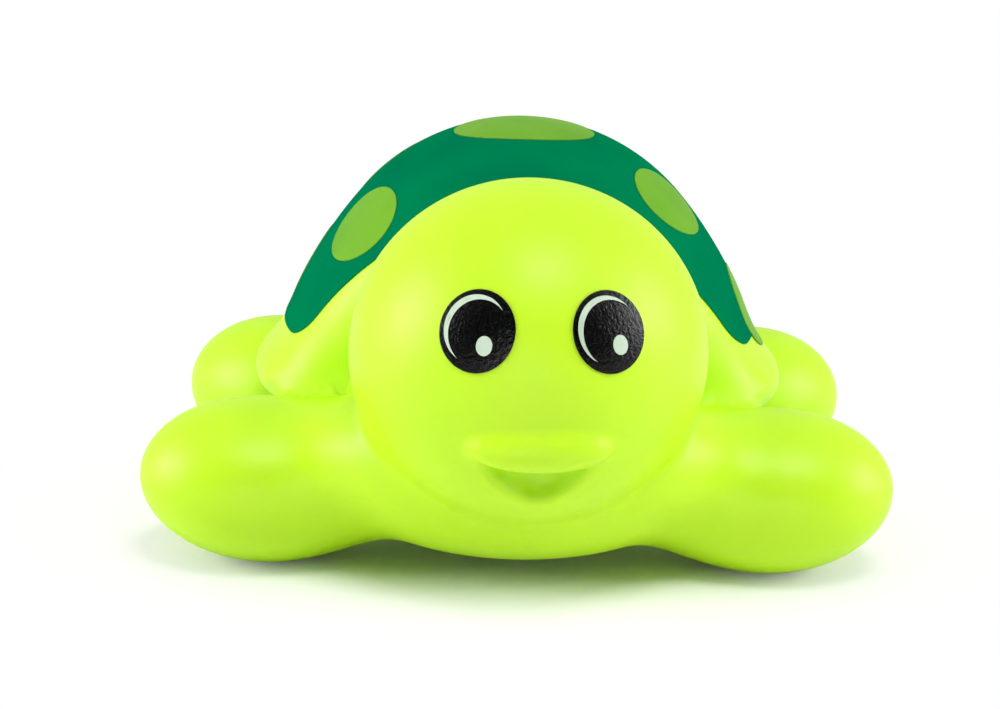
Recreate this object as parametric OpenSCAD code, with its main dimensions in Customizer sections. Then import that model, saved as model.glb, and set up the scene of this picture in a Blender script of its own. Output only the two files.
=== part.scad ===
// Squeaky bath toy: a soft, hollow turtle cast in one piece, with a painted shell, printed eyes
// and a small reed squeaker pushed into a moulded seat in its belly.
// The toy looks along -Y and stands on z = 0; the origin is under the middle of its outline.

/* [Shell] */
// Width of the domed shell at its widest level
dome_w = 54.2; // [40:0.1:70]
// Length of the domed shell at its widest level
dome_l = 62; // [50:0.1:80]
// Height of the dome's top above its widest level
dome_rise = 26.9; // [20:0.1:36]
// Height of the dome's widest level
dome_z = 24.5; // [20:0.1:32]
// Distance of the dome's middle behind the origin
dome_y = 8.5; // [0:0.1:16]
// Width of the flank that widens the dome towards the rim
flank_w = 58.6; // [46:0.1:76]
// Length of that flank
flank_l = 70; // [56:0.1:90]
// Thickness of that flank
flank_h = 30; // [20:0.1:40]
// Height of that flank's middle
flank_z = 22.5; // [16:0.1:28]
// Width of the rim below the shell
rim_w = 68.4; // [56:0.1:84]
// Length of the rim
rim_l = 76; // [60:0.1:94]
// Thickness of the rim
rim_h = 16; // [10:0.1:24]
// Height of the rim's middle
rim_z = 19.5; // [14:0.1:26]
// Distance of the rim's middle behind the origin
rim_y = 7.5; // [0:0.1:14]
// Fillet that melts flank and rim into the dome
rim_fillet = 8; // [2:0.1:14]
// Distance of the shell's open front ahead of the origin, at the rim's height
front_ahead = 9.6; // [4:0.1:16]
// Lean of that front, top forwards, in degrees
front_lean = 20; // [0:0.5:40]
// Fillet of the ridge round that front
front_fillet = 7; // [2:0.1:10]
// Fillet of the seam between the shell and what stands out from under it
seam_fillet = 2.5; // [1:0.1:8]

/* [Belly, chest and neck] */
// Width of the belly
belly_w = 56; // [46:0.1:70]
// Length of the belly
belly_l = 66; // [54:0.1:84]
// Thickness of the belly
belly_h = 20; // [14:0.1:26]
// Distance of the belly's middle behind the origin
belly_y = 4.5; // [0:0.1:10]
// Width of the chest under the chin
chest_w = 50; // [36:0.1:62]
// Length of the chest
chest_l = 28; // [20:0.1:36]
// Thickness of the chest
chest_h = 22.8; // [16:0.1:30]
// Height of the chest's middle
chest_z = 14.9; // [12:0.1:22]
// Distance of the chest's middle ahead of the origin
chest_ahead = 20; // [14:0.1:30]
// Fillet of belly and chest
belly_fillet = 6; // [2:0.1:12]
// Width of the neck inside the shell's front
neck_w = 38; // [28:0.1:48]
// Length of the neck
neck_l = 34; // [24:0.1:44]
// Height of the neck
neck_h = 28; // [20:0.1:38]
// Height of the neck's middle
neck_z = 22; // [16:0.1:28]
// Distance of the neck's middle ahead of the origin
neck_ahead = 12; // [6:0.1:18]
// Fillet of the neck's root
neck_fillet = 6; // [2:0.1:8]

/* [Head] */
// Width of the ball of the head
head_w = 43; // [32:0.1:54]
// Depth of the head from nose to nape
head_l = 40; // [30:0.1:50]
// Height of the head
head_h = 41.8; // [32:0.1:52]
// Height of the head's middle
head_z = 29.6; // [24:0.1:36]
// Distance of the point that the head turns about ahead of the origin
pivot_ahead = 14.5; // [4:0.1:20]
// Reach of the head's middle beyond that point
head_reach = 11; // [6:0.1:22]
// Turn of the head towards the toy's left side, in degrees
head_turn = 4.3; // [-15:0.1:15]
// Fillet of the crease round the head
head_fillet = 3.6; // [0.6:0.1:8]

/* [Mouth] */
// Width of the upper lip
lip_w = 17; // [10:0.1:22]
// Height of the upper lip
lip_h = 6.2; // [3:0.1:9]
// How far the upper lip stands proud of the head
lip_proud = 1.8; // [0.4:0.05:2.5]
// Depth of the roll that forms the lip
lip_l = 7; // [4:0.1:10]
// Angle of the lip below the head's middle, in degrees
lip_drop = 21.3; // [8:0.1:30]
// Width of the hollow under the lip
mouth_w = 10.8; // [6:0.1:18]
// Height of the hollow under the lip
mouth_h = 9.5; // [4:0.1:14]
// Depth of the hollow under the lip
mouth_deep = 3.6; // [0.5:0.05:5]
// Depth of the tool that forms the hollow
mouth_l = 10; // [5:0.1:14]
// Angle of the hollow below the head's middle, in degrees
mouth_drop = 31; // [20:0.1:42]
// Fillet round lip and hollow
mouth_fillet = 1.2; // [0.4:0.05:3]

/* [Flippers] */
// Length of a front flipper, across the toy
front_flipper_w = 31; // [22:0.1:44]
// Breadth of a front flipper, along the toy
front_flipper_l = 24; // [16:0.1:34]
// Thickness of a front flipper
front_flipper_h = 20.4; // [12:0.1:26]
// Distance of a front flipper's middle from the middle of the toy
front_flipper_out = 31.4; // [24:0.1:42]
// Distance of a front flipper's middle ahead of the origin
front_flipper_ahead = 15.5; // [6:0.1:24]
// Sweep of a front flipper, tip forwards, in degrees
front_flipper_sweep = 15; // [-30:0.5:40]
// Tilt of a front flipper, tip up, in degrees
front_flipper_tilt = 6; // [0:0.5:20]
// Length of a rear flipper, across the toy
rear_flipper_w = 28; // [20:0.1:40]
// Breadth of a rear flipper, along the toy
rear_flipper_l = 22; // [14:0.1:30]
// Thickness of a rear flipper
rear_flipper_h = 19.8; // [12:0.1:24]
// Distance of a rear flipper's middle from the middle of the toy
rear_flipper_out = 31.8; // [24:0.1:42]
// Distance of a rear flipper's middle behind the origin
rear_flipper_behind = 28.5; // [18:0.1:36]
// Sweep of a rear flipper, tip backwards, in degrees
rear_flipper_sweep = 30; // [-10:0.5:60]
// Fillet of the flippers' roots
flipper_fillet = 7; // [3:0.1:12]
// Depth of the flat that each flipper rests on
flipper_flat = 0.3; // [0.1:0.05:1]

/* [Casting] */
// Wall of the hollow casting
wall = 1.8; // [1:0.05:3]

/* [Paint and print] */
// Thickness of the shell's dark coat
coat_t = 0.2; // [0.1:0.05:0.6]
// Clearance under the coat and the prints
film_clear = 0.08; // [0.04:0.01:0.3]
// Height of the coat's lower edge at the sides and the back
coat_z = 25.4; // [20:0.1:34]
// Distance of the coat's front edge behind the shell's open front
coat_behind = 5.5; // [2:0.1:10]
// Fillet of the coat's corner, where those two edges meet
coat_corner = 4; // [1:0.1:8]
// Bare border between the coat and the head
coat_neck = 1; // [0.4:0.05:3]
// Thickness of a light spot on the shell
spot_t = 0.15; // [0.1:0.05:0.5]
// Clearance under a spot, above the coat's flat facets
spot_clear = 0.2; // [0.18:0.01:0.4]
// Radius that the spots' sizes are shares of
spot_r = 6.8; // [4:0.1:8]
// Width of an eye
eye_w = 9.1; // [5:0.1:11]
// Height of an eye
eye_h = 9.8; // [5:0.1:12]
// Angle of each eye to the side of the face's middle, in degrees
eye_side = 23.4; // [17:0.1:35]
// Angle of the eyes above the head's middle, in degrees
eye_up = 20.3; // [5:0.1:35]
// Thickness of an eye's print
eye_t = 0.2; // [0.1:0.05:0.5]
// Thickness of the white marks on an eye
mark_t = 0.1; // [0.05:0.05:0.3]
// Width of the white dot in an eye
dot_w = 1.9; // [1:0.05:2.4]
// Height of the white dot in an eye
dot_h = 2.3; // [1:0.05:2.8]
// Widest part of the white crescent in an eye
crescent_w = 0.7; // [0.3:0.01:1]
// Place round the eye where the crescent starts, in degrees
crescent_start_deg = 42; // [20:1:120]
// Place round the eye where the crescent ends, in degrees
crescent_end_deg = 238; // [180:1:280]

/* [Squeaker] */
// Distance of the squeaker behind the origin
squeaker_y = 1; // [-2:0.1:6]
// Radius of the squeaker's flange
flange_r = 10; // [9:0.05:11]
// Thickness of the flange
flange_t = 1.2; // [0.8:0.05:2]
// How deep the flange lies inside its seat
flange_sink = 0.2; // [0.1:0.05:0.8]
// Radius of the squeaker's barrel
barrel_r = 8; // [7:0.05:8.6]
// Height of the barrel's top
barrel_z = 10.5; // [8:0.1:14]
// Wall of the barrel
barrel_wall = 1; // [0.6:0.05:1.6]
// How far the barrel's snap bead stands out
bead = 0.6; // [0.3:0.05:1]
// Clearance between the squeaker and its seat
seat_clear = 0.1; // [0.05:0.01:0.3]
// Wall of the vinyl seat round the flange
seat_wall = 3; // [2:0.05:4]
// Height of the vinyl seat
seat_h = 4.5; // [3.6:0.05:6]
// How far the seat stands below the belly
foot = 0.5; // [0.2:0.05:1.5]
// Bore of the reed's tube
tube_bore = 6; // [5:0.05:7]
// Wall of the reed's tube
tube_wall = 1; // [0.6:0.05:1.4]
// Height of the tube's top
tube_z = 5.2; // [4.4:0.05:7]
// Width of the air port in the flange
port_w = 3; // [2:0.05:4]
// Clearance between the tube and what is pushed into it
tube_clear = 0.05; // [0.03:0.01:0.2]
// Height of the tongue that the reed beats against
tongue_z = 12.2; // [10:0.05:15]
// Place of the tongue's flat, behind the tube's axis
tongue_flat = 0.3; // [0:0.05:0.8]
// Width of the tongue's air channel
channel_w = 2.2; // [1.4:0.05:2.8]
// Depth of the tongue's air channel
channel_deep = 1.4; // [0.8:0.05:2]
// End wall above the tongue's air channel
channel_end = 1.3; // [0.8:0.05:2.5]
// Slope of the tongue's lay away from the reed, in degrees
lay = 2.5; // [1.5:0.1:5]
// Width of the reed
reed_w = 4; // [2.8:0.05:5]
// Thickness of the reed
reed_t = 0.15; // [0.1:0.01:0.3]
// Height of the reed's free end
reed_z = 11.6; // [9:0.05:13]
// Length of the reed that lies in the clamp
reed_root = 2.4; // [1.5:0.05:3]
// Clearance on each face of the reed in its clamp
reed_clear = 0.1; // [0.06:0.01:0.2]
// How far the wedge stands above the tube
wedge_proud = 0.6; // [0.2:0.05:1.2]

/* [Hidden] */
$fn = 64;

// The skin, as a blend of egg shapes

// Place that sees the whole skin, straight above the squeaker
core_place_share = 0.645;
core_z = flank_z * core_place_share;
core = [0, squeaker_y, core_z];
// Longest distance that the skin can lie from there
far = core_z + front_flipper_out + front_flipper_w + head_reach;
belly_z = belly_h / 2 + foot;
head_mid = [sin(head_turn) * head_reach, -pivot_ahead - cos(head_turn) * head_reach, head_z];

// Direction from the head's middle: side to the toy's left, up from level
function facing(side, up) =
    [sin(side + head_turn) * cos(up), -cos(side + head_turn) * cos(up), sin(up)];
function turned(v, a) = [v.x * cos(a) + v.y * sin(a), v.y * cos(a) - v.x * sin(a), v.z];
function tilted(v, a) = [v.x * cos(a) + v.z * sin(a), v.y, v.z * cos(a) - v.x * sin(a)];
function unit(v) = v / norm(v);

// Signed distance from an egg with the given full sizes, turn and tilt, close enough near its surface
function egg(p, size, turn = 0, tilt = 0) =
    let (q = tilted(turned(p, turn), tilt) * 2,
         u = [q.x / size.x, q.y / size.y, q.z / size.z],
         v = [u.x / size.x, u.y / size.y, u.z / size.z] * 2,
         n = norm(u))
    n * (n - 1) / norm(v);
// Two shapes melted together over a fillet of size k, and one cut out of another
function melt(a, b, k) = min(a, b) - pow(max(k - abs(a - b), 0), 2) / (4 * k);
function carve(a, b, k) = -melt(-a, b, k);

lip_mid = head_mid + facing(0, -lip_drop) * (head_l / 2 + lip_proud - lip_l / 2);
mouth_mid = head_mid + facing(0, -mouth_drop) * (head_l / 2 - mouth_deep + mouth_l / 2);

// Distance behind the plane of the shell's open front
function behind_front(p) = (p.y + front_ahead) * cos(front_lean) + (p.z - rim_z) * sin(front_lean);
function shell_skin(p) =
    carve(melt(melt(egg(p - [0, dome_y, dome_z], [dome_w, dome_l, 2 * dome_rise]),
                    egg(p - [0, dome_y, flank_z], [flank_w, flank_l, flank_h]), rim_fillet),
               egg(p - [0, rim_y, rim_z], [rim_w, rim_l, rim_h]), rim_fillet / 2),
          behind_front(p), front_fillet);
function head_ball(p) = egg(p - head_mid, [head_w, head_l, head_h], head_turn);
// The mouth's hollow narrows downwards to a smile, by this share of its width at its foot
mouth_narrows_share = 0.5;
function mouth_tool(p) =
    let (q = turned(p - mouth_mid, head_turn),
         down_share = min(max(-2 * q.z / mouth_h, -0.4), 1.25))
    egg([q.x * (1 + mouth_narrows_share * down_share), q.y, q.z], [mouth_w, mouth_l, mouth_h]);
function head_skin(p) = p.y > head_mid.y ? head_ball(p) :
    melt(carve(head_ball(p), mouth_tool(p), mouth_fillet),
         egg(p - lip_mid, [lip_w, lip_l, lip_h], head_turn), mouth_fillet);
// Height of the middle of a tilted flipper that stands on its flat
function flipper_z(w, h, tilt) = norm([w * sin(tilt), h * cos(tilt)]) / 2 - flipper_flat;
function flipper_skin(q) =
    melt(egg(q - [front_flipper_out, -front_flipper_ahead,
                  flipper_z(front_flipper_w, front_flipper_h, front_flipper_tilt)],
             [front_flipper_w, front_flipper_l, front_flipper_h], -front_flipper_sweep,
             front_flipper_tilt),
         egg(q - [rear_flipper_out, rear_flipper_behind, flipper_z(0, rear_flipper_h, 0)],
             [rear_flipper_w, rear_flipper_l, rear_flipper_h], rear_flipper_sweep), flipper_fillet);
function skin(p) =
    let (trunk = melt(egg(p - [0, belly_y, belly_z], [belly_w, belly_l, belly_h]),
                      egg(p - [0, -chest_ahead, chest_z], [chest_w, chest_l, chest_h]), belly_fillet),
         limbed = melt(trunk, flipper_skin([abs(p.x), p.y, p.z]), flipper_fillet),
         necked = melt(limbed, egg(p - [0, -neck_ahead, neck_z], [neck_w, neck_l, neck_h]), neck_fillet),
         all = melt(melt(shell_skin(p), necked, seam_fillet), head_skin(p), head_fillet))
    max(all, -p.z);

// Distance from o along d at which the skin lies at the given level: steps inwards from far
// outside, then longer steps where the skin is seen at a slant, judged from the last two places
longest_stride_share = 5;
function reach(o, d, level = 0, r = far, f = 0, steps = 10) =
    let (s = r - f, g = skin(o + d * s) - level)
    steps > 0 ? reach(o, d, level, s, g, steps - 1) : settle(o, d, level, r, f, s, g, 5);
function settle(o, d, level, r, f, s, g, steps) =
    steps == 0 || f == g ? s :
    let (t = s - g * min(max((s - r) / (g - f), 1), longest_stride_share))
    settle(o, d, level, s, g, t, skin(o + d * t) - level, steps - 1);

// The grid that skin and coat share

cols = 84;
coat_rows = 10;
low_rows = 26;
// Columns crowd at the face and the flippers' tips: heading, spread, and share by which they crowd
crowd_shares = [[0, 13, 1.6], [0, 45, 0.9], [68, 12, 0.7], [128, 16, 0.5]];
// Rows crowd at the height of the face, this share of the way down below the coat
row_crowd_share = 0.6;
row_crowd_place_share = 0.43;

// Radius at which the casting's skin ends inside the squeaker's seat
seat_r = flange_r + seat_clear + seat_wall;
skin_hole_r = seat_r - seat_wall / 2;
low_up = -atan((core_z - foot) / skin_hole_r);

function col_weight(a) =
    1 + [for (c = crowd_shares) c[2] * exp(-pow((abs(a) - c[0]) / c[1], 2))] *
        [for (c = crowd_shares) 1];
// Running total of the weights, degree by degree from the tail round to the tail
col_sums = [for (i = 0, t = 0; i <= 360; t = t + col_weight(i - 180), i = i + 1) [t, i - 180]];
function col_turn(j) = lookup(col_sums[360][0] * j / cols, col_sums);
function heading(turn, up) = [sin(turn) * cos(up), -cos(turn) * cos(up), sin(up)];
function crowd(u) = u + row_crowd_share / 2 / PI *
    (sin(360 * (u - row_crowd_place_share + 1 / 2)) + sin(360 * (row_crowd_place_share - 1 / 2)));

// Positive where the shell is coated
function coated(p) = min(head_ball(p) - coat_neck,
                         melt(p.z - coat_z, behind_front(p) - coat_behind, coat_corner));
// Height angles between which the coat's edge is found by halving, and the angle straight up
below_deg = -5;
above_deg = 85;
halvings = 9;
overhead_deg = 90;
function coat_edge(turn, lo, hi, n) =
    n == 0 ? (lo + hi) / 2 :
    let (mid = (lo + hi) / 2,
         d = heading(turn, mid),
         on = coated(core + d * reach(core, d)) > 0)
    coat_edge(turn, on ? lo : mid, on ? mid : hi, n - 1);
function edges() = [for (j = [0:cols - 1]) coat_edge(col_turn(j), below_deg, above_deg, halvings)];
function row_up(i, edge) =
    i <= coat_rows ? overhead_deg - (overhead_deg - edge) * i / coat_rows
                   : edge + (low_up - edge) * crowd((i - coat_rows) / low_rows);
// Directions of every grid point below the top, row by row
function grid(rows, edge) = [for (i = rows) [for (j = [0:cols - 1])
    heading(col_turn(j), row_up(i, edge[j]))]];
function radii(dirs, level) = [for (row = dirs) [for (d = row) reach(core, d, level)]];
function at(dirs, r, off) = [for (i = [0:len(dirs) - 1]) for (j = [0:cols - 1])
    core + dirs[i][j] * (r[i][j] + off)];
function top(level, off) = core + [0, 0, reach(core, [0, 0, 1], level) + off];

// Triangles of a skin over points that run from one pole through rows of n to another pole.
// The rows turn back at row t, where the quads' diagonals change over to stay alongside. From
// row free on, each quad takes its shorter diagonal.
function wrap(pts, rows, n, t, free = 1e9) = concat(
    [for (j = [0:n - 1]) [0, 1 + (j + 1) % n, 1 + j]],
    [for (i = [0:rows - 2]) for (j = [0:n - 1])
        let (a = 1 + i * n + j, b = 1 + i * n + (j + 1) % n,
             back = i < free ? (i >= t) != (j >= n / 2)
                             : norm(pts[b] - pts[a + n]) < norm(pts[a] - pts[b + n]))
        each back ? [[a, b, a + n], [b, b + n, a + n]] : [[a, b, b + n], [a, b + n, a + n]]],
    [for (j = [0:n - 1]) [1 + (rows - 1) * n + j, 1 + (rows - 1) * n + (j + 1) % n, 1 + rows * n]]);

// The casting: its skin, doubled back through the squeaker's hole, and its seat

module vinyl_skin() {
    edge = edges();
    outer = grid([1:coat_rows + low_rows], edge);
    inner = grid([coat_rows + low_rows:-2:2], edge);
    pts = concat([top(0, 0)], at(outer, radii(outer, 0), 0),
                 at(inner, radii(inner, -wall), 0), [top(-wall, 0)]);
    polyhedron(pts, wrap(pts, len(outer) + len(inner), cols, len(outer) - 1, coat_rows - 1));
}

// Collar round the squeaker, with a recess for its flange
module squeaker_seat() {
    recess_z = flange_sink + flange_t + seat_clear;
    recess_r = flange_r + seat_clear;
    bore_r = barrel_r + seat_clear;
    lead = (recess_r - bore_r) / 4;
    translate([0, squeaker_y, 0]) rotate_extrude()
        polygon([[recess_r, 0], [seat_r, 0], [seat_r, seat_h - lead], [seat_r - lead, seat_h],
                 [bore_r + lead, seat_h], [bore_r, seat_h - lead], [bore_r, recess_z],
                 [recess_r, recess_z]]);
}

module vinyl_body() color([0.76, 0.95, 0.25]) {
    vinyl_skin();
    squeaker_seat();
}

// Paint and print, each a thin film just above what it lies on

module shell_coat() color([0.0, 0.47, 0.32]) {
    edge = edges();
    outer = grid([1:coat_rows], edge);
    inner = grid([coat_rows:-1:1], edge);
    r = radii(outer, 0);
    r_back = [for (i = [len(r) - 1:-1:0]) r[i]];
    pts = concat([top(0, film_clear + coat_t)], at(outer, r, film_clear + coat_t),
                 at(inner, r_back, film_clear), [top(0, film_clear)]);
    polyhedron(pts, wrap(pts, 2 * coat_rows, cols, coat_rows - 1));
}

// Thin film on the skin round the place that o sees along d. Its outline is a list of places
// [across, up] round that place, and each ring inside it is a share of the way in.
module film(o, d, outline, ring_shares, gap, t) {
    side = unit(cross([0, 0, 1], d));
    up = cross(d, side);
    mid = o + d * reach(o, d);
    n = len(outline);
    heart = [for (k = [0:1]) [for (q = outline) q[k]] * [for (q = outline) 1] / n];
    rings = [for (s = ring_shares) for (q = outline)
        let (e = heart + (q - heart) * s) unit(mid + side * e[0] + up * e[1] - o)];
    hub = unit(mid + side * heart[0] + up * heart[1] - o);
    r = [for (e = rings) reach(o, e)];
    r_hub = reach(o, hub);
    k = len(ring_shares);
    pts = concat([o + hub * (r_hub + gap + t)],
                 [for (i = [0:k * n - 1]) o + rings[i] * (r[i] + gap + t)],
                 [for (i = [k - 1:-1:0]) for (j = [0:n - 1])
                     o + rings[i * n + j] * (r[i * n + j] + gap)],
                 [o + hub * (r_hub + gap)]);
    polyhedron(pts, wrap(pts, 2 * k, n, k - 1));
}

function oval(w, h, tilt, n) = [for (j = [0:n - 1])
    let (a = 360 * j / n, x = w / 2 * cos(a), y = h / 2 * sin(a))
    [x * cos(tilt) - y * sin(tilt), x * sin(tilt) + y * cos(tilt)]];

// Each spot: heading round the dome and angle up, in degrees, then width and height as shares
// of spot_r, and tilt in degrees, anticlockwise as seen from outside
spot_shares = [
    [0, 89, 2.8, 2.35, 0],
    [-62, 34, 1.95, 1.65, 0],
    [69, 43, 2.0, 1.6, -10],
    [88, 8, 1.9, 1.6, 0],
    [-103, 12, 1.9, 1.9, 0],
    [-125, 42, 2.2, 1.9, 0],
    [128, 36, 2.1, 2.1, 0],
    [180, 30, 2.0, 2.2, 0],
    [150, 2, 1.6, 1.5, 0],
    [-150, 6, 1.8, 1.8, 0],
];
spot_sides = 16;

module shell_spots() color([0.53, 0.74, 0.28])
    for (s = spot_shares)
        film([0, dome_y, dome_z], heading(s[0], s[1]), oval(s[2] * spot_r, s[3] * spot_r, s[4], spot_sides),
             [0.5, 1], film_clear + coat_t + spot_clear, spot_t);

module eye(side) color([0.05, 0.06, 0.06])
    film(head_mid, facing(side * eye_side, eye_up), oval(eye_w, eye_h, 0, 24), [0.5, 1],
         film_clear, eye_t);
module eye_left() eye(1);
module eye_right() eye(-1);

// Places in an eye, as shares of its half width and half height
dot_place_share = [0.24, -0.33];
crescent_place_share = 0.8;
crescent_steps = 12;

// White marks: a dot low towards the toy's left, and a crescent round the opposite side
module eye_marks(side) color([0.87, 0.93, 0.85]) {
    gap = 2 * film_clear + eye_t;
    d = facing(side * eye_side, eye_up);
    dot_mid = [dot_place_share[0] * eye_w, dot_place_share[1] * eye_h] / 2;
    film(head_mid, d, [for (q = oval(dot_w, dot_h, 0, 14)) q + dot_mid], [1], gap, mark_t);
    n = crescent_steps;
    arc = [for (k = [0:n]) let (a = crescent_start_deg + (crescent_end_deg - crescent_start_deg) * k / n)
        [cos(a) * eye_w, sin(a) * eye_h] / 2 * crescent_place_share];
    half = [for (k = [0:n]) crescent_w / 2 * max(sin(180 * k / n), 1 / n)];
    ribbon(head_mid, d, arc, half, gap, mark_t);
}
module eye_marks_left() eye_marks(1);
module eye_marks_right() eye_marks(-1);

// Thin curved stripe on the skin along a line of places, with its half width at each
module ribbon(o, d, line, half, gap, t) {
    side = unit(cross([0, 0, 1], d));
    up = cross(d, side);
    mid = o + d * reach(o, d);
    n = len(line);
    function put(q, off) = let (e = unit(mid + side * q[0] + up * q[1] - o))
        o + e * (reach(o, e) + off);
    out = [for (k = [0:n - 1]) let (w = unit(line[k])) [line[k] + w * half[k], line[k] - w * half[k]]];
    polyhedron(
        points = [for (k = [0:n - 1]) each [put(out[k][0], gap), put(out[k][1], gap),
                                            put(out[k][1], gap + t), put(out[k][0], gap + t)]],
        faces = concat([[0, 2, 3], [0, 1, 2]],
            [for (k = [0:n - 2]) for (c = [0:3])
                let (a = 4 * k + c, b = 4 * k + (c + 1) % 4)
                each [[a, b + 4, b], [a, a + 4, b + 4]]],
            let (e = 4 * n - 4) [[e, e + 2, e + 1], [e, e + 3, e + 2]]));
}

// The squeaker, four pieces round one upright axis

flange_z = flange_sink + flange_t;
bead_z = seat_h + seat_clear;
tube_r = tube_bore / 2;
plug_r = tube_r - tube_clear;
slot = reed_t + 2 * reed_clear;
root_z = tube_z - reed_root;

module at_squeaker() translate([0, squeaker_y, 0]) children();

// Flange with the air port, barrel with its snap bead, and the tube that holds the reed
module squeaker_housing() color([0.93, 0.93, 0.9]) at_squeaker() {
    rotate_extrude()
        polygon([[port_w / 2, flange_sink], [flange_r, flange_sink], [flange_r, flange_z],
                 [barrel_r, flange_z], [barrel_r, bead_z], [barrel_r + bead, bead_z],
                 [barrel_r + bead, bead_z + bead], [barrel_r, bead_z + 3 * bead],
                 [barrel_r, barrel_z], [barrel_r - barrel_wall, barrel_z],
                 [barrel_r - barrel_wall, flange_z], [tube_r + tube_wall, flange_z],
                 [tube_r + tube_wall, tube_z], [tube_r, tube_z], [tube_r, flange_z],
                 [port_w / 2, flange_z]]);
}

// Half-round tongue with its air channel; above the tube its lay slopes away from the reed
module reed_tongue() color([0.95, 0.95, 0.93]) at_squeaker() difference() {
    z0 = flange_z + tube_clear;
    h = tongue_z - z0;
    translate([0, 0, z0]) cylinder(r = plug_r, h = h);
    translate([-tube_bore, tongue_flat, 0]) cube([2 * tube_bore, tube_bore, tongue_z + tube_bore]);
    translate([0, tongue_flat, tube_z]) rotate([lay, 0, 0])
        translate([-tube_bore, 0, 0]) cube([2 * tube_bore, tube_bore, tongue_z]);
    translate([-channel_w / 2, tongue_flat - channel_deep, 0])
        cube([channel_w, channel_deep + tube_bore, tongue_z - channel_end]);
}

// Wedge that clamps the reed's root against the tongue
module reed_wedge() color([0.9, 0.9, 0.88]) at_squeaker() difference() {
    z0 = flange_z + tube_clear;
    h = tube_z + wedge_proud - z0;
    translate([0, 0, z0]) cylinder(r = plug_r, h = h);
    translate([-tube_bore, -tube_bore, 0])
        cube([2 * tube_bore, tube_bore + tongue_flat + slot, tongue_z]);
}

// Thin plastic strip that flutters
module reed() color([0.75, 0.72, 0.62]) at_squeaker()
    translate([-reed_w / 2, tongue_flat + reed_clear, root_z])
        cube([reed_w, reed_t, reed_z - root_z]);

vinyl_body();
shell_coat();
shell_spots();
eye_left();
eye_right();
eye_marks_left();
eye_marks_right();
squeaker_housing();
reed_tongue();
reed_wedge();
reed();
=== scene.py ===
import math

import bmesh
import bpy
import numpy as np
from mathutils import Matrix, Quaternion, Vector


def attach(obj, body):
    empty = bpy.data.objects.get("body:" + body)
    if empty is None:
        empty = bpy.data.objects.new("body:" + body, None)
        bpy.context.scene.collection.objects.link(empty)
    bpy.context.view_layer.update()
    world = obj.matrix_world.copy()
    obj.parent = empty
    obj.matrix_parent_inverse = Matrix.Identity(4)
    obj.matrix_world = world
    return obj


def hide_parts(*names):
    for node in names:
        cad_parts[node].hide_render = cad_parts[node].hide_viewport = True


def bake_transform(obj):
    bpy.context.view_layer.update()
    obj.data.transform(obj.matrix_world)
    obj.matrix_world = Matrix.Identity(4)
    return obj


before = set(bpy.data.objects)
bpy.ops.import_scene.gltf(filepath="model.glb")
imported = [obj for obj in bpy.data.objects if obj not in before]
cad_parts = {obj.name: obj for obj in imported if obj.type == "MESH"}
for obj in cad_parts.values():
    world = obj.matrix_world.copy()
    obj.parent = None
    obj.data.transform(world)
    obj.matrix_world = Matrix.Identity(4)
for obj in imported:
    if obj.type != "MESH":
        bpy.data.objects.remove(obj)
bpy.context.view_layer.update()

# The casting: one hollow skin of soft lime vinyl, with shell, belly, chest, head and flippers.
# It is rotary cast in one mould, so every form melts into the next. Here each form starts as a
# ball, the balls are meshed over as one skin, and that skin is drawn onto the melted shape.
MM = 0.001
WALL = 1.8
SKIN_GRID = 0.8
BALL_SIDES = 48
# Rounds of drawing the skin onto its shape, and of evening its faces
FIRST_ROUNDS = 8
EVENINGS = 6
MOUTH_EVENINGS = 40
EVENING_ROUNDS = 2
LAST_ROUNDS = 3
HEAD_TURN = 4.3
HEAD_PIVOT = np.array([0, -14.5, 29.6])
HEAD_REACH = 11


def facing(side, up):
    """Direction from the head's middle: degrees to the toy's left, and up from level."""
    turn, rise = math.radians(side + HEAD_TURN), math.radians(up)
    return np.array([math.sin(turn) * math.cos(rise), -math.cos(turn) * math.cos(rise), math.sin(rise)])


HEAD = HEAD_PIVOT + facing(0, 0) * HEAD_REACH
# Middle and full sizes in millimetres, then turn and tilt in degrees, of each ball
FORMS = {
    "dome": ((0, 8.5, 24.5), (54.2, 62, 53.8), 0, 0),
    "flank": ((0, 8.5, 22.5), (58.6, 70, 30), 0, 0),
    "rim": ((0, 7.5, 19.5), (68.4, 76, 16), 0, 0),
    "belly": ((0, 4.5, 10.5), (56, 66, 20), 0, 0),
    "chest": ((0, -20, 14.9), (50, 28, 22.8), 0, 0),
    "neck": ((0, -12, 22), (38, 34, 28), 0, 0),
    "head": (tuple(HEAD), (43, 40, 41.8), HEAD_TURN, 0),
    "front_left": ((31.4, -15.5, 9.97), (31, 24, 20.4), -15, 6),
    "front_right": ((-31.4, -15.5, 9.97), (31, 24, 20.4), 15, -6),
    "rear_left": ((31.8, 28.5, 9.6), (28, 22, 19.8), 30, 0),
    "rear_right": ((-31.8, 28.5, 9.6), (28, 22, 19.8), -30, 0),
}
LIMBS = ("front_left", "front_right", "rear_left", "rear_right")
# The shell is open in front of a plane that leans forwards, and its edge there is a soft ridge
FRONT_AHEAD = 9.6
FRONT_LEAN = math.radians(20)
RIM_Z = 19.5
LIP_SIZE = (17, 7, 6.2)
LIP_PROUD = 1.8
LIP_DROP = 21.3
MOUTH_SIZE = (10.8, 10, 9.5)
MOUTH_DEEP = 3.6
MOUTH_DROP = 31
MOUTH_NARROWS = 0.12
MOUTH_NARROWS_OVER = (-2, 6)
MOUTH_REACH = 9
HEAD_LENGTH = FORMS["head"][1][1]
LIP = HEAD + facing(0, -LIP_DROP) * (HEAD_LENGTH / 2 + LIP_PROUD - LIP_SIZE[1] / 2)
MOUTH = HEAD + facing(0, -MOUTH_DROP) * (HEAD_LENGTH / 2 - MOUTH_DEEP + MOUTH_SIZE[1] / 2)
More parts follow.
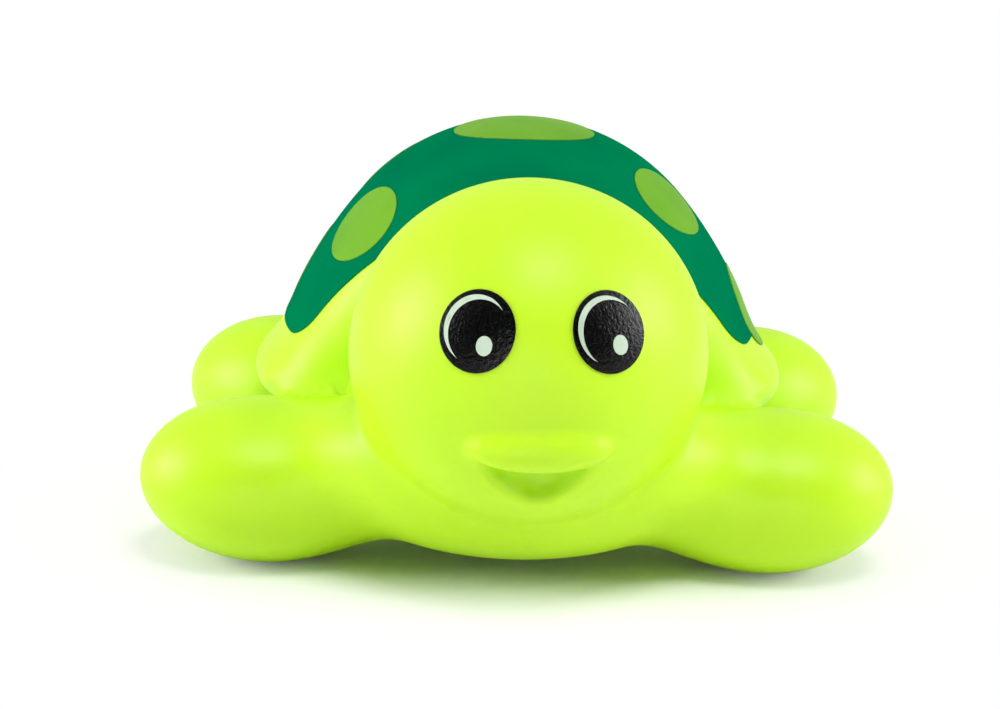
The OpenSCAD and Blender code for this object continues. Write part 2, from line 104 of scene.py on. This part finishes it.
# Width in millimetres over which the forms flow together at each seam
FILLET = {"mouth": 1.2, "lip": 0.8, "flank": 8, "rim": 4, "ridge": 7, "chest": 6, "limb": 7,
          "neck": 4, "waist": 2.5, "head": 1.6}
# Millimetres to each side at which the skin's slope is read, and the limits of one move along it
SLOPE_STEP = 0.02
LEAST_SLOPE = 0.05
LONGEST_MOVE = 1.5
# Degrees past which an edge stays sharp, on moulded pieces and on films of paint
SHARP = 40
FILM_SHARP = 60


def ball(points, middle, size, turn=0, tilt=0):
    """Distance of points from an egg-shaped ball in millimetres, close near its surface."""
    x, y, z = (points - np.array(middle)).T
    c, s = math.cos(math.radians(turn)), math.sin(math.radians(turn))
    x, y = x * c + y * s, y * c - x * s
    c, s = math.cos(math.radians(tilt)), math.sin(math.radians(tilt))
    u = 2 * np.stack([x * c + z * s, y, z * c - x * s], axis=1) / np.array(size)
    n = np.linalg.norm(u, axis=1)
    return n * (n - 1) / np.maximum(2 * np.linalg.norm(u / np.array(size), axis=1), 1e-9)


def melt(a, b, fillet):
    """Distance from two forms that flow into each other."""
    return np.minimum(a, b) - np.maximum(fillet - np.abs(a - b), 0) ** 2 / (4 * fillet)


def carve(a, b, fillet):
    """Distance from form a where form b is taken out of it."""
    return -melt(-a, b, fillet)


def behind_front(points):
    """Distance behind the plane of the shell's open front."""
    y, z = points[:, 1] + FRONT_AHEAD, points[:, 2] - RIM_Z
    return y * math.cos(FRONT_LEAN) + z * math.sin(FRONT_LEAN)


def skin(points):
    """Distance of points from the casting's outer surface, in millimetres."""
    form = {name: ball(points, *values) for name, values in FORMS.items()}
    # The mouth's hollow narrows downwards to a smile
    drawn = points - MOUTH
    drawn[:, 0] *= 1 + MOUTH_NARROWS * np.clip(-drawn[:, 2], *MOUTH_NARROWS_OVER)
    hollow = ball(drawn, (0, 0, 0), MOUTH_SIZE, HEAD_TURN)
    face = carve(form["head"], hollow, FILLET["mouth"])
    face = melt(face, ball(points, LIP, LIP_SIZE, HEAD_TURN), FILLET["lip"])
    head = np.where(points[:, 1] > HEAD[1], form["head"], face)
    shell = melt(melt(form["dome"], form["flank"], FILLET["flank"]), form["rim"], FILLET["rim"])
    shell = carve(shell, behind_front(points), FILLET["ridge"])
    under = melt(form["belly"], form["chest"], FILLET["chest"])
    for limb in LIMBS:
        under = melt(under, form[limb], FILLET["limb"])
    under = melt(under, form["neck"], FILLET["neck"])
    return melt(melt(shell, under, FILLET["waist"]), head, FILLET["head"])


def slope(points):
    """Direction and steepness in which the distance from the skin grows."""
    steps = SLOPE_STEP * np.eye(3)
    rise = np.stack([skin(points + d) - skin(points - d) for d in steps], axis=1)
    return rise / (2 * SLOPE_STEP)


def lay_on_skin(points, rounds):
    """Points drawn onto the casting's surface along its slope, a short way each round."""
    for _ in range(rounds):
        g = slope(points)
        way = skin(points) / np.maximum((g * g).sum(axis=1), LEAST_SLOPE)
        points = points - g * np.clip(way, -LONGEST_MOVE, LONGEST_MOVE)[:, None]
    return points


def evened(points, edges):
    """Each point moved to the middle of its neighbours."""
    total = np.zeros_like(points)
    np.add.at(total, edges[:, 0], points[edges[:, 1]])
    np.add.at(total, edges[:, 1], points[edges[:, 0]])
    return total / np.bincount(edges.ravel(), minlength=len(points))[:, None]


def corners(obj):
    """The mesh's points in millimetres."""
    co = np.empty(len(obj.data.vertices) * 3)
    obj.data.vertices.foreach_get("co", co)
    return co.reshape(-1, 3) / MM


def put_corners(obj, points):
    """Moves the mesh's points to these places in millimetres."""
    obj.data.vertices.foreach_set("co", (points * MM).ravel())
    obj.data.update()


def select_only(obj):
    """Makes the object the one selected and active one."""
    bpy.ops.object.select_all(action="DESELECT")
    obj.select_set(True)
    bpy.context.view_layer.objects.active = obj


def finish_with(obj, kind, **values):
    """Adds a modifier with these values and applies it."""
    select_only(obj)
    bpy.ops.object.modifier_add(type=kind)
    modifier = obj.modifiers[-1]
    for name, value in values.items():
        setattr(modifier, name, value)
    bpy.ops.object.modifier_apply(modifier=modifier.name)


def joined(parts, name):
    """The objects in parts made one, with its place in its mesh."""
    bpy.ops.object.select_all(action="DESELECT")
    for part in parts:
        part.select_set(True)
    bpy.context.view_layer.objects.active = parts[0]
    if len(parts) > 1:
        bpy.ops.object.join()
    bpy.ops.object.transform_apply(location=True, rotation=True, scale=True)
    parts[0].name = name
    return parts[0]


def opened(obj):
    """A copy of the object's mesh to edit."""
    bm = bmesh.new()
    bm.from_mesh(obj.data)
    return bm


def put_back(bm, obj):
    """Makes the edited copy the object's mesh."""
    bm.to_mesh(obj.data)
    bm.free()


balls = []
for middle, size, turn, tilt in FORMS.values():
    bpy.ops.mesh.primitive_uv_sphere_add(
        segments=BALL_SIDES, ring_count=BALL_SIDES // 2, radius=0.5 * MM,
        location=Vector(middle) * MM, rotation=(0, -math.radians(tilt), math.radians(turn)),
        scale=size)
    balls.append(bpy.context.object)
casting = joined(balls, "casting")
finish_with(casting, "REMESH", mode="VOXEL", voxel_size=SKIN_GRID * MM)
put_corners(casting, lay_on_skin(corners(casting), FIRST_ROUNDS))
# Finer faces at the mouth
bm = opened(casting)
near = [e for e in bm.edges
        if ((e.verts[0].co + e.verts[1].co) / 2 - Vector(LIP) * MM).length < MOUTH_REACH * MM]
bmesh.ops.subdivide_edges(bm, edges=near, cuts=1, use_grid_fill=True)
put_back(bm, casting)
links = np.empty(len(casting.data.edges) * 2, dtype=np.int64)
casting.data.edges.foreach_get("vertices", links)
links = links.reshape(-1, 2)
points = corners(casting)
for _ in range(EVENINGS):
    points = lay_on_skin(evened(points, links), EVENING_ROUNDS)
# The hollow's walls stretch the faces there, so they are evened for longer
at_mouth = np.linalg.norm(points - LIP, axis=1) < MOUTH_REACH
for _ in range(MOUTH_EVENINGS):
    points[at_mouth] = lay_on_skin(evened(points, links)[at_mouth], EVENING_ROUNDS)
points = lay_on_skin(points, LAST_ROUNDS)
# The flippers stand on small flats
points[:, 2] = np.maximum(points[:, 2], 0)
put_corners(casting, points)

# The squeaker's hole in the belly, and the seat that is moulded round it. The seat stands a
# little below the belly, which slopes up to it.
SQUEAKER_Y = 1
SEAT_R = 13.1
SEAT_H = 4.5
RECESS_R = 10.1
RECESS_Z = 1.5
BORE_R = 8.1
SEAT_EDGE = 0.25
SEAT_STEPS = 96
SEAT_LAP = 1.5
HOLE_R = SEAT_R - SEAT_LAP
BELLY_RISE = 0.4
BELLY_SLOPE_R = 20
points = corners(casting)
from_seat = np.hypot(points[:, 0], points[:, 1] - SQUEAKER_Y)
rise = BELLY_RISE * np.clip((BELLY_SLOPE_R - from_seat) / (BELLY_SLOPE_R - SEAT_R), 0, 1)
points[:, 2] = np.maximum(points[:, 2], rise)
put_corners(casting, points)
bm = opened(casting)
in_hole = [v for v in bm.verts
           if math.hypot(v.co.x, v.co.y - SQUEAKER_Y * MM) < HOLE_R * MM and v.co.z < SEAT_H * MM]
bmesh.ops.delete(bm, geom=in_hole, context="VERTS")
for v in bm.verts:
    if v.is_boundary:
        way = Vector((v.co.x, v.co.y - SQUEAKER_Y * MM)).normalized() * HOLE_R * MM
        v.co.x, v.co.y = way.x, way.y + SQUEAKER_Y * MM
put_back(bm, casting)
finish_with(casting, "SOLIDIFY", thickness=WALL * MM, offset=-1, use_quality_normals=True)

# Half section of the seat, from its foot round to the step that the flange bears on
seat_line = [(RECESS_R, 0), (SEAT_R, 0), (SEAT_R, SEAT_H), (BORE_R, SEAT_H), (BORE_R, RECESS_Z),
             (RECESS_R, RECESS_Z)]


def spun(name, line, y, steps):
    """A closed ring: a half section of [radius, height] turned round an upright axis at y."""
    mesh = bpy.data.meshes.new(name)
    mesh.from_pydata([(r * MM, y * MM, z * MM) for r, z in line],
                     [(i, (i + 1) % len(line)) for i in range(len(line))], [])
    ring = bpy.data.objects.new(name, mesh)
    bpy.context.collection.objects.link(ring)
    select_only(ring)
    bpy.ops.object.mode_set(mode="EDIT")
    bpy.ops.mesh.select_all(action="SELECT")
    bpy.ops.mesh.spin(steps=steps, angle=2 * math.pi, center=(0, y * MM, 0), axis=(0, 0, 1))
    bpy.ops.mesh.select_all(action="SELECT")
    bpy.ops.mesh.remove_doubles(threshold=0.001 * MM)
    bpy.ops.mesh.normals_make_consistent(inside=False)
    bpy.ops.object.mode_set(mode="OBJECT")
    return ring


seat = spun("seat", seat_line, SQUEAKER_Y, SEAT_STEPS)
finish_with(seat, "BEVEL", width=SEAT_EDGE * MM, segments=3, limit_method="ANGLE",
            angle_limit=math.radians(SHARP))
casting = joined([casting, seat], "casting")


def smooth(obj, angle):
    """Shades the object smooth, but for edges sharper than angle."""
    select_only(obj)
    bpy.ops.object.shade_smooth_by_angle(angle=math.radians(angle))


smooth(casting, SHARP)


def shade_group(name, inputs, outputs):
    """An empty node group with number inputs, each with its start value, and typed outputs."""
    group = bpy.data.node_groups.new(name, "ShaderNodeTree")
    for label, value in inputs.items():
        socket = group.interface.new_socket(label, in_out="INPUT", socket_type="NodeSocketFloat")
        socket.default_value = value
    for label, kind in outputs.items():
        group.interface.new_socket(label, in_out="OUTPUT", socket_type=kind)
    return group, group.nodes.new("NodeGroupInput"), group.nodes.new("NodeGroupOutput")


def noise(tree, place, scale, detail, rough):
    """Noise at a place, with its scale taken from a socket."""
    node = tree.nodes.new("ShaderNodeTexNoise")
    node.inputs["Detail"].default_value = detail
    node.inputs["Roughness"].default_value = rough
    tree.links.new(place, node.inputs["Vector"])
    tree.links.new(scale, node.inputs["Scale"])
    return node.outputs["Fac"]


def mapped(tree, value, seen=(0, 1), made=(0, 1), kind="LINEAR"):
    """The value taken from the range seen to the range made."""
    node = tree.nodes.new("ShaderNodeMapRange")
    node.interpolation_type = kind
    for label, limit in zip(("From Min", "From Max", "To Min", "To Max"), (*seen, *made)):
        node.inputs[label].default_value = limit
    tree.links.new(value, node.inputs["Value"])
    return node.outputs["Result"]


# Grain of a moulded or printed surface: a height for fine grain, and a mask for soft clouds
grain, grain_in, grain_out = shade_group(
    "surface_grain", {"Grain per metre": 1500, "Clouds per metre": 40},
    {"Height": "NodeSocketFloat", "Clouds": "NodeSocketFloat"})
place = grain.nodes.new("ShaderNodeTexCoord").outputs["Object"]
fine = noise(grain, place, grain_in.outputs["Grain per metre"], 3, 0.6)
clouds = noise(grain, place, grain_in.outputs["Clouds per metre"], 2, 0.5)
grain.links.new(fine, grain_out.inputs["Height"])
grain.links.new(mapped(grain, clouds, seen=(0.35, 0.65)), grain_out.inputs["Clouds"])


def linear(red, green, blue):
    """A screen colour of 0 to 255 as the shader's own."""
    share = [c / 255 for c in (red, green, blue)]
    return tuple(c / 12.92 if c <= 0.04045 else ((c + 0.055) / 1.055) ** 2.4 for c in share) + (1,)


def surface(name, dark, light, rough, grain_per_m, clouds_per_m, bump_mm, **constants):
    """A material between two colours, clouded, with fine grain, and constants for its sockets."""
    material = bpy.data.materials.new(name)
    material.use_nodes = True
    tree = material.node_tree
    shader = tree.nodes["Principled BSDF"]
    for socket, value in constants.items():
        shader.inputs[socket.replace("_", " ")].default_value = value
    grained = tree.nodes.new("ShaderNodeGroup")
    grained.node_tree = grain
    grained.inputs["Grain per metre"].default_value = grain_per_m
    grained.inputs["Clouds per metre"].default_value = clouds_per_m
    tint = tree.nodes.new("ShaderNodeMix")
    tint.data_type = "RGBA"
    tint.inputs["A"].default_value = linear(*dark)
    tint.inputs["B"].default_value = linear(*light)
    tree.links.new(grained.outputs["Clouds"], tint.inputs["Factor"])
    tree.links.new(tint.outputs["Result"], shader.inputs["Base Color"])
    gloss = mapped(tree, grained.outputs["Height"], made=rough)
    tree.links.new(gloss, shader.inputs["Roughness"])
    bump = tree.nodes.new("ShaderNodeBump")
    bump.inputs["Strength"].default_value = 1
    bump.inputs["Distance"].default_value = bump_mm * MM
    tree.links.new(grained.outputs["Height"], bump.inputs["Height"])
    tree.links.new(bump.outputs["Normal"], shader.inputs["Normal"])
    return material


vinyl = surface("lime_vinyl", (181, 226, 10), (188, 230, 15), (0.4, 0.5), 1600, 45, 0.008,
                Subsurface_Weight=0.4, Subsurface_Radius=(1, 0.9, 0.25), Subsurface_Scale=0.0016,
                Specular_IOR_Level=0.45)
casting.data.materials.clear()
casting.data.materials.append(vinyl)
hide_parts("vinyl_body")
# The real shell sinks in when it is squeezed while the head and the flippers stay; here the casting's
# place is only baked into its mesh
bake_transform(casting)

# The shell's coat: dark green paint, sprayed through a mask over the dome down to a level line, and
# forwards to a line behind the front ridge. It follows the casting and ends short of the head.
CORE = np.array([0, SQUEAKER_Y, 14.5])
COAT_Z = 25.4
COAT_BEHIND = 5.5
COAT_NECK = 1
COAT_CORNER = 4
COAT_T = 0.14
# The film's underside stays this far above the skin
COAT_LIFT = 0.03
COAT_COLUMNS = 240
COAT_ROWS = 48
# Degrees up between which the paint's edge is looked for, and how often they are halved
EDGE_LOW = -5
EDGE_HIGH = 85
HALVINGS = 12
# Where the search for the skin starts, in millimetres, how often it steps, and how far each time
FAR = 95
REACH_STEPS = 60
REACH_SHARE = 0.9


def reach(start, ways):
    """How far from start, along each way, the skin lies, found from outside."""
    s = np.full(len(ways), float(FAR))
    for _ in range(REACH_STEPS):
        s -= REACH_SHARE * skin(start + ways * s[:, None])
    return s


def coated(points):
    """Positive where the shell is painted."""
    outline = melt(points[:, 2] - COAT_Z, behind_front(points) - COAT_BEHIND, COAT_CORNER)
    return np.minimum(ball(points, *FORMS["head"]) - COAT_NECK, outline)


def heading(turn, up):
    """Directions at these angles round the toy from its front, and up, in degrees."""
    turn, up = np.radians(turn), np.radians(up)
    return np.stack([np.sin(turn) * np.cos(up), -np.cos(turn) * np.cos(up), np.sin(up)], axis=-1)


turns = np.arange(COAT_COLUMNS) * 360 / COAT_COLUMNS
low = np.full(COAT_COLUMNS, float(EDGE_LOW))
high = np.full(COAT_COLUMNS, float(EDGE_HIGH))
for _ in range(HALVINGS):
    mid = (low + high) / 2
    ways = heading(turns, mid)
    on = coated(CORE + ways * reach(CORE, ways)[:, None]) > 0
    high = np.where(on, mid, high)
    low = np.where(on, low, mid)
edge_up = (low + high) / 2
# A ball whose rings run from the top down to the edge of the paint
bpy.ops.mesh.primitive_uv_sphere_add(
    segments=COAT_COLUMNS, ring_count=COAT_ROWS * 2, radius=MM, location=(0, 0, 0))
coat = bpy.context.object
coat.name = "shell_paint"
bm = opened(coat)
bmesh.ops.delete(bm, geom=[v for v in bm.verts if v.co.z < -0.01 * MM], context="VERTS")
put_back(bm, coat)
points = corners(coat)
turn = np.degrees(np.arctan2(points[:, 0], -points[:, 1])) % 360
down_share = np.degrees(np.arccos(np.clip(points[:, 2], -1, 1))) / 90
edge_here = np.interp(turn, np.append(turns, 360), np.append(edge_up, edge_up[0]))
up = 90 - down_share * (90 - edge_here)
ways = heading(turn, up)
put_corners(coat, CORE + ways * (reach(CORE, ways) + COAT_T)[:, None])
finish_with(coat, "SOLIDIFY", thickness=(COAT_T - COAT_LIFT) * MM, offset=-1)
smooth(coat, FILM_SHARP)
coat.data.materials.append(surface(
    "shell_paint", (0, 107, 70), (0, 117, 72), (0.5, 0.62), 1400, 60, 0.006,
    Specular_IOR_Level=0))
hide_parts("shell_coat")
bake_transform(coat)

# The spots: light green ovals of paint, padded onto the coat, one on top and nine round it.
# Each starts as one disc of rings, pressed onto the shell from the dome's middle.
SPOT_R = 6.8
SPOT_T = 0.1
SPOT_SIDES = 64
FILM_RINGS = 12
# Turn and rise in degrees, width and height as shares of the radius, and tilt in degrees
SPOTS = [
    (0, 89, 2.8, 2.35, 0),
    (-62, 34, 1.95, 1.65, 0),
    (69, 43, 2.0, 1.6, -10),
    (88, 8, 1.9, 1.6, 0),
    (-103, 12, 1.9, 1.9, 0),
    (-125, 42, 2.2, 1.9, 0),
    (128, 36, 2.1, 2.1, 0),
    (180, 30, 2.0, 2.2, 0),
    (150, 2, 1.6, 1.5, 0),
    (-150, 6, 1.8, 1.8, 0),
]


def disc(name, sides, rings):
    """A flat disc of radius 1 mm with rings of faces, its top upwards."""
    bpy.ops.mesh.primitive_circle_add(vertices=sides, radius=MM, fill_type="NGON", location=(0, 0, 0))
    made = bpy.context.object
    made.name = name
    bpy.ops.object.mode_set(mode="EDIT")
    bpy.ops.mesh.select_all(action="SELECT")
    for _ in range(rings - 1):
        bpy.ops.mesh.inset(thickness=MM / rings, use_even_offset=False)
    bpy.ops.mesh.poke()
    bpy.ops.object.mode_set(mode="OBJECT")
    return made


def pressed_on(piece, start, way, width, height, tilt, lift, thick, place=(0, 0)):
    """Presses a disc onto the skin where start sees it along way, as an oval, lift above it."""
    across = np.cross([0, 0, 1], way)
    across = across / np.linalg.norm(across)
    upward = np.cross(way, across)
    spot = start + way * reach(start, way[None])[0]
    c, s = math.cos(math.radians(tilt)), math.sin(math.radians(tilt))
    flat = corners(piece)[:, :2] * [width / 2, height / 2]
    x = flat[:, 0] * c - flat[:, 1] * s + place[0]
    y = flat[:, 0] * s + flat[:, 1] * c + place[1]
    ways = spot + across * x[:, None] + upward * y[:, None] - start
    ways = ways / np.linalg.norm(ways, axis=1)[:, None]
    put_corners(piece, start + ways * (reach(start, ways) + lift + thick)[:, None])
    finish_with(piece, "SOLIDIFY", thickness=thick * MM, offset=-1)


DOME = np.array(FORMS["dome"][0])
spots = []
for turn, up, width, height, tilt in SPOTS:
    spot = disc("spot", SPOT_SIDES, FILM_RINGS)
    pressed_on(spot, DOME, heading(turn, up), width * SPOT_R, height * SPOT_R, tilt, COAT_T, SPOT_T)
    spots.append(spot)
spots = joined(spots, "shell_spot_paint")
smooth(spots, FILM_SHARP)
spots.data.materials.append(surface(
    "spot_paint", (97, 155, 34), (108, 164, 39), (0.45, 0.6), 1400, 90, 0.006,
    Specular_IOR_Level=0.08))
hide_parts("shell_spots")
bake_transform(spots)

# The eyes: black ovals of thick ink, printed on the face with a leathery skin, and on each a white
# dot and a white crescent in a second print.
EYE_SIDE = 23.4
EYE_UP = 20.3
EYE_W = 9.1
EYE_H = 9.8
EYE_T = 0.14
EYE_LIFT = 0.02
EYE_SIDES = 72
MARK_T = 0.05
MARK_RINGS = 4
DOT_SIDES = 32
DOT_SIZE = (1.9, 2.3)
DOT_PLACE = (0.24 * EYE_W / 2, -0.33 * EYE_H / 2)
CRESCENT_FROM = 42
CRESCENT_TO = 238
CRESCENT_SHARE = 0.8
CRESCENT_W = 0.7
CRESCENT_SIDES = 96
eye_ink = surface("eye_ink", (0, 1, 0), (1, 3, 2), (0.14, 0.24), 2200, 300, 0.1,
                  Specular_IOR_Level=0.3)
white_ink = surface("white_ink", (180, 200, 178), (192, 209, 190), (0.35, 0.5), 2000, 200, 0.01)
for side, name in ((1, "left"), (-1, "right")):
    way = facing(side * EYE_SIDE, EYE_UP)
    eye = disc("eye_print_" + name, EYE_SIDES, FILM_RINGS)
    pressed_on(eye, HEAD, way, EYE_W, EYE_H, 0, EYE_LIFT, EYE_T)
    eye.data.materials.append(eye_ink)
    smooth(eye, FILM_SHARP)
    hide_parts("eye_" + name)
    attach(eye, "body")

    dot = disc("eye_dot_" + name, DOT_SIDES, MARK_RINGS)
    pressed_on(dot, HEAD, way, *DOT_SIZE, 0, EYE_LIFT + EYE_T, MARK_T, DOT_PLACE)
    # The crescent is a disc pulled into a sickle: its height runs along the curve
    crescent = disc("eye_crescent_" + name, CRESCENT_SIDES, MARK_RINGS)
    flat = corners(crescent)
    angle = np.radians(CRESCENT_FROM + (CRESCENT_TO - CRESCENT_FROM) * (flat[:, 0] + 1) / 2)
    taper = np.sqrt(np.maximum(1 - flat[:, 0] ** 2, 0))
    out = CRESCENT_SHARE + flat[:, 1] * taper * CRESCENT_W / EYE_W
    flat[:, 0] = np.cos(angle) * out
    flat[:, 1] = np.sin(angle) * out
    put_corners(crescent, flat)
    pressed_on(crescent, HEAD, way, EYE_W, EYE_H, 0, EYE_LIFT + EYE_T, MARK_T)
    marks = joined([dot, crescent], "eye_marks_print_" + name)
    marks.data.materials.append(white_ink)
    smooth(marks, FILM_SHARP)
    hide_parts("eye_marks_" + name)
    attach(marks, "body")

# The squeaker: a bought insert of four pieces, moulded in milky plastic, with a thin reed of film.
# It sits in the belly's seat, and its flange with the air port is seen from below.
squeaker_plastic = surface("squeaker_plastic", (226, 227, 217), (236, 236, 228), (0.3, 0.42), 900, 80,
                           0.004, Subsurface_Weight=0.15, Subsurface_Radius=(1, 1, 0.9),
                           Subsurface_Scale=0.001)
reed_film = surface("reed_film", (196, 182, 146), (206, 193, 160), (0.25, 0.35), 1800, 300, 0.002,
                    Specular_IOR_Level=0.6)
for node, material in (("squeaker_housing", squeaker_plastic), ("reed_tongue", squeaker_plastic),
                       ("reed_wedge", squeaker_plastic), ("reed", reed_film)):
    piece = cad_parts[node]
    piece.data.materials.clear()
    piece.data.materials.append(material)

# The table: a plain white sheet that keeps the toy's shadow, and is pure white further off.
# It lies a tenth of a millimetre under the toy, and the white begins in an oval round it.
TABLE_R = 4
TABLE_Z = -0.1 * MM
WHITE_FROM = 0.02
WHITE_TO = 0.052
WHITE_OVAL = (0.7, 1, 1)
bpy.ops.mesh.primitive_circle_add(
    vertices=96, radius=TABLE_R, fill_type="NGON", location=(0, 0, TABLE_Z))
table = bpy.context.object
table.name = "table"
sheet = bpy.data.materials.new("white_table")
sheet.use_nodes = True
tree = sheet.node_tree
shader = tree.nodes["Principled BSDF"]
shader.inputs["Base Color"].default_value = (0.88, 0.89, 0.86, 1)
shader.inputs["Roughness"].default_value = 0.7
shader.inputs["Specular IOR Level"].default_value = 0.15
glow = tree.nodes.new("ShaderNodeEmission")
both = tree.nodes.new("ShaderNodeMixShader")
squashed = tree.nodes.new("ShaderNodeVectorMath")
squashed.operation = "MULTIPLY"
squashed.inputs[1].default_value = WHITE_OVAL
tree.links.new(tree.nodes.new("ShaderNodeTexCoord").outputs["Object"], squashed.inputs[0])
length = tree.nodes.new("ShaderNodeVectorMath")
length.operation = "LENGTH"
tree.links.new(squashed.outputs["Vector"], length.inputs[0])
fade = mapped(tree, length.outputs["Value"], (WHITE_FROM, WHITE_TO), kind="SMOOTHERSTEP")
seen = tree.nodes.new("ShaderNodeMath")
seen.operation = "MULTIPLY"
tree.links.new(fade, seen.inputs[0])
tree.links.new(tree.nodes.new("ShaderNodeLightPath").outputs["Is Camera Ray"], seen.inputs[1])
tree.links.new(seen.outputs["Value"], both.inputs["Fac"])
tree.links.new(shader.outputs["BSDF"], both.inputs[1])
tree.links.new(glow.outputs["Emission"], both.inputs[2])
tree.links.new(both.outputs["Shader"], tree.nodes["Material Output"].inputs["Surface"])
table.data.materials.append(sheet)

# Soft studio light: a pale room, a soft lamp at each side, one above, and a small weak one low in
# front that lights the lip, the chin and the flippers
WHITE = (1, 1, 1, 1)
WALL_BEGINS = -0.85
WALL_FULL = 0
DIM = 0.02
BRIGHT = 0.68
world = bpy.data.worlds.new("pale_room")
bpy.context.scene.world = world
world.use_nodes = True
tree = world.node_tree
room = tree.nodes["Background"]
room.inputs["Color"].default_value = WHITE
# The white walls stand at the sides and behind, and the room in front, round the camera, is dim
seen_way = tree.nodes.new("ShaderNodeSeparateXYZ")
tree.links.new(tree.nodes.new("ShaderNodeTexCoord").outputs["Generated"], seen_way.inputs[0])
wall = mapped(tree, seen_way.outputs["Y"], (WALL_BEGINS, WALL_FULL), (DIM, BRIGHT), "SMOOTHSTEP")
tree.links.new(wall, room.inputs["Strength"])
backdrop = tree.nodes.new("ShaderNodeBackground")
backdrop.inputs["Color"].default_value = WHITE
both = tree.nodes.new("ShaderNodeMixShader")
tree.links.new(tree.nodes.new("ShaderNodeLightPath").outputs["Is Camera Ray"], both.inputs["Fac"])
tree.links.new(room.outputs["Background"], both.inputs[1])
tree.links.new(backdrop.outputs["Background"], both.inputs[2])
tree.links.new(both.outputs["Shader"], tree.nodes["World Output"].inputs["Surface"])


LAMPS_AIM = Vector((0, 0, 20 * MM))


def lamp(name, place, size, watts):
    """A square soft lamp that points at the toy."""
    light = bpy.data.lights.new(name, "AREA")
    light.size = size
    light.energy = watts
    obj = bpy.data.objects.new(name, light)
    bpy.context.collection.objects.link(obj)
    obj.location = place
    obj.rotation_euler = (LAMPS_AIM - obj.location).to_track_quat("-Z", "Y").to_euler()


lamp("lamp_left", (-0.8, -0.1, 0.3), 0.45, 5.1)
lamp("lamp_right", (0.8, -0.06, 0.34), 0.45, 4.2)
lamp("lamp_top", (0.12, -0.4, 0.85), 0.3, 3.9)
lamp("lamp_front", (0, -0.7, 0.03), 0.3, 1.25)

# The camera: a long lens in front of the toy and a little above it, turned a touch. It is shifted
# so that the toy stands in the picture where the photograph has it.
camera = bpy.data.objects.new("camera", bpy.data.cameras.new("camera"))
bpy.context.collection.objects.link(camera)
bpy.context.scene.camera = camera
AZIMUTH = math.radians(-0.8)
ELEVATION = math.radians(15)
ROLL = math.radians(1.6)
DISTANCE = 0.38
AIM = Vector((0, 2.5 * MM, 20 * MM))
LENS = 105.5
SENSOR = 36
SHIFT = (-0.018, 0.0145)
back = Vector((math.sin(AZIMUTH) * math.cos(ELEVATION), -math.cos(AZIMUTH) * math.cos(ELEVATION),
               math.sin(ELEVATION)))
camera.location = AIM + back * DISTANCE
camera.rotation_mode = "QUATERNION"
camera.rotation_quaternion = (-back).to_track_quat("-Z", "Y") @ Quaternion((0, 0, 1), ROLL)
camera.data.lens = LENS
camera.data.sensor_width = SENSOR
camera.data.shift_x, camera.data.shift_y = SHIFT
camera.data.clip_start = 0.01
bpy.context.scene.view_settings.view_transform = "Standard"
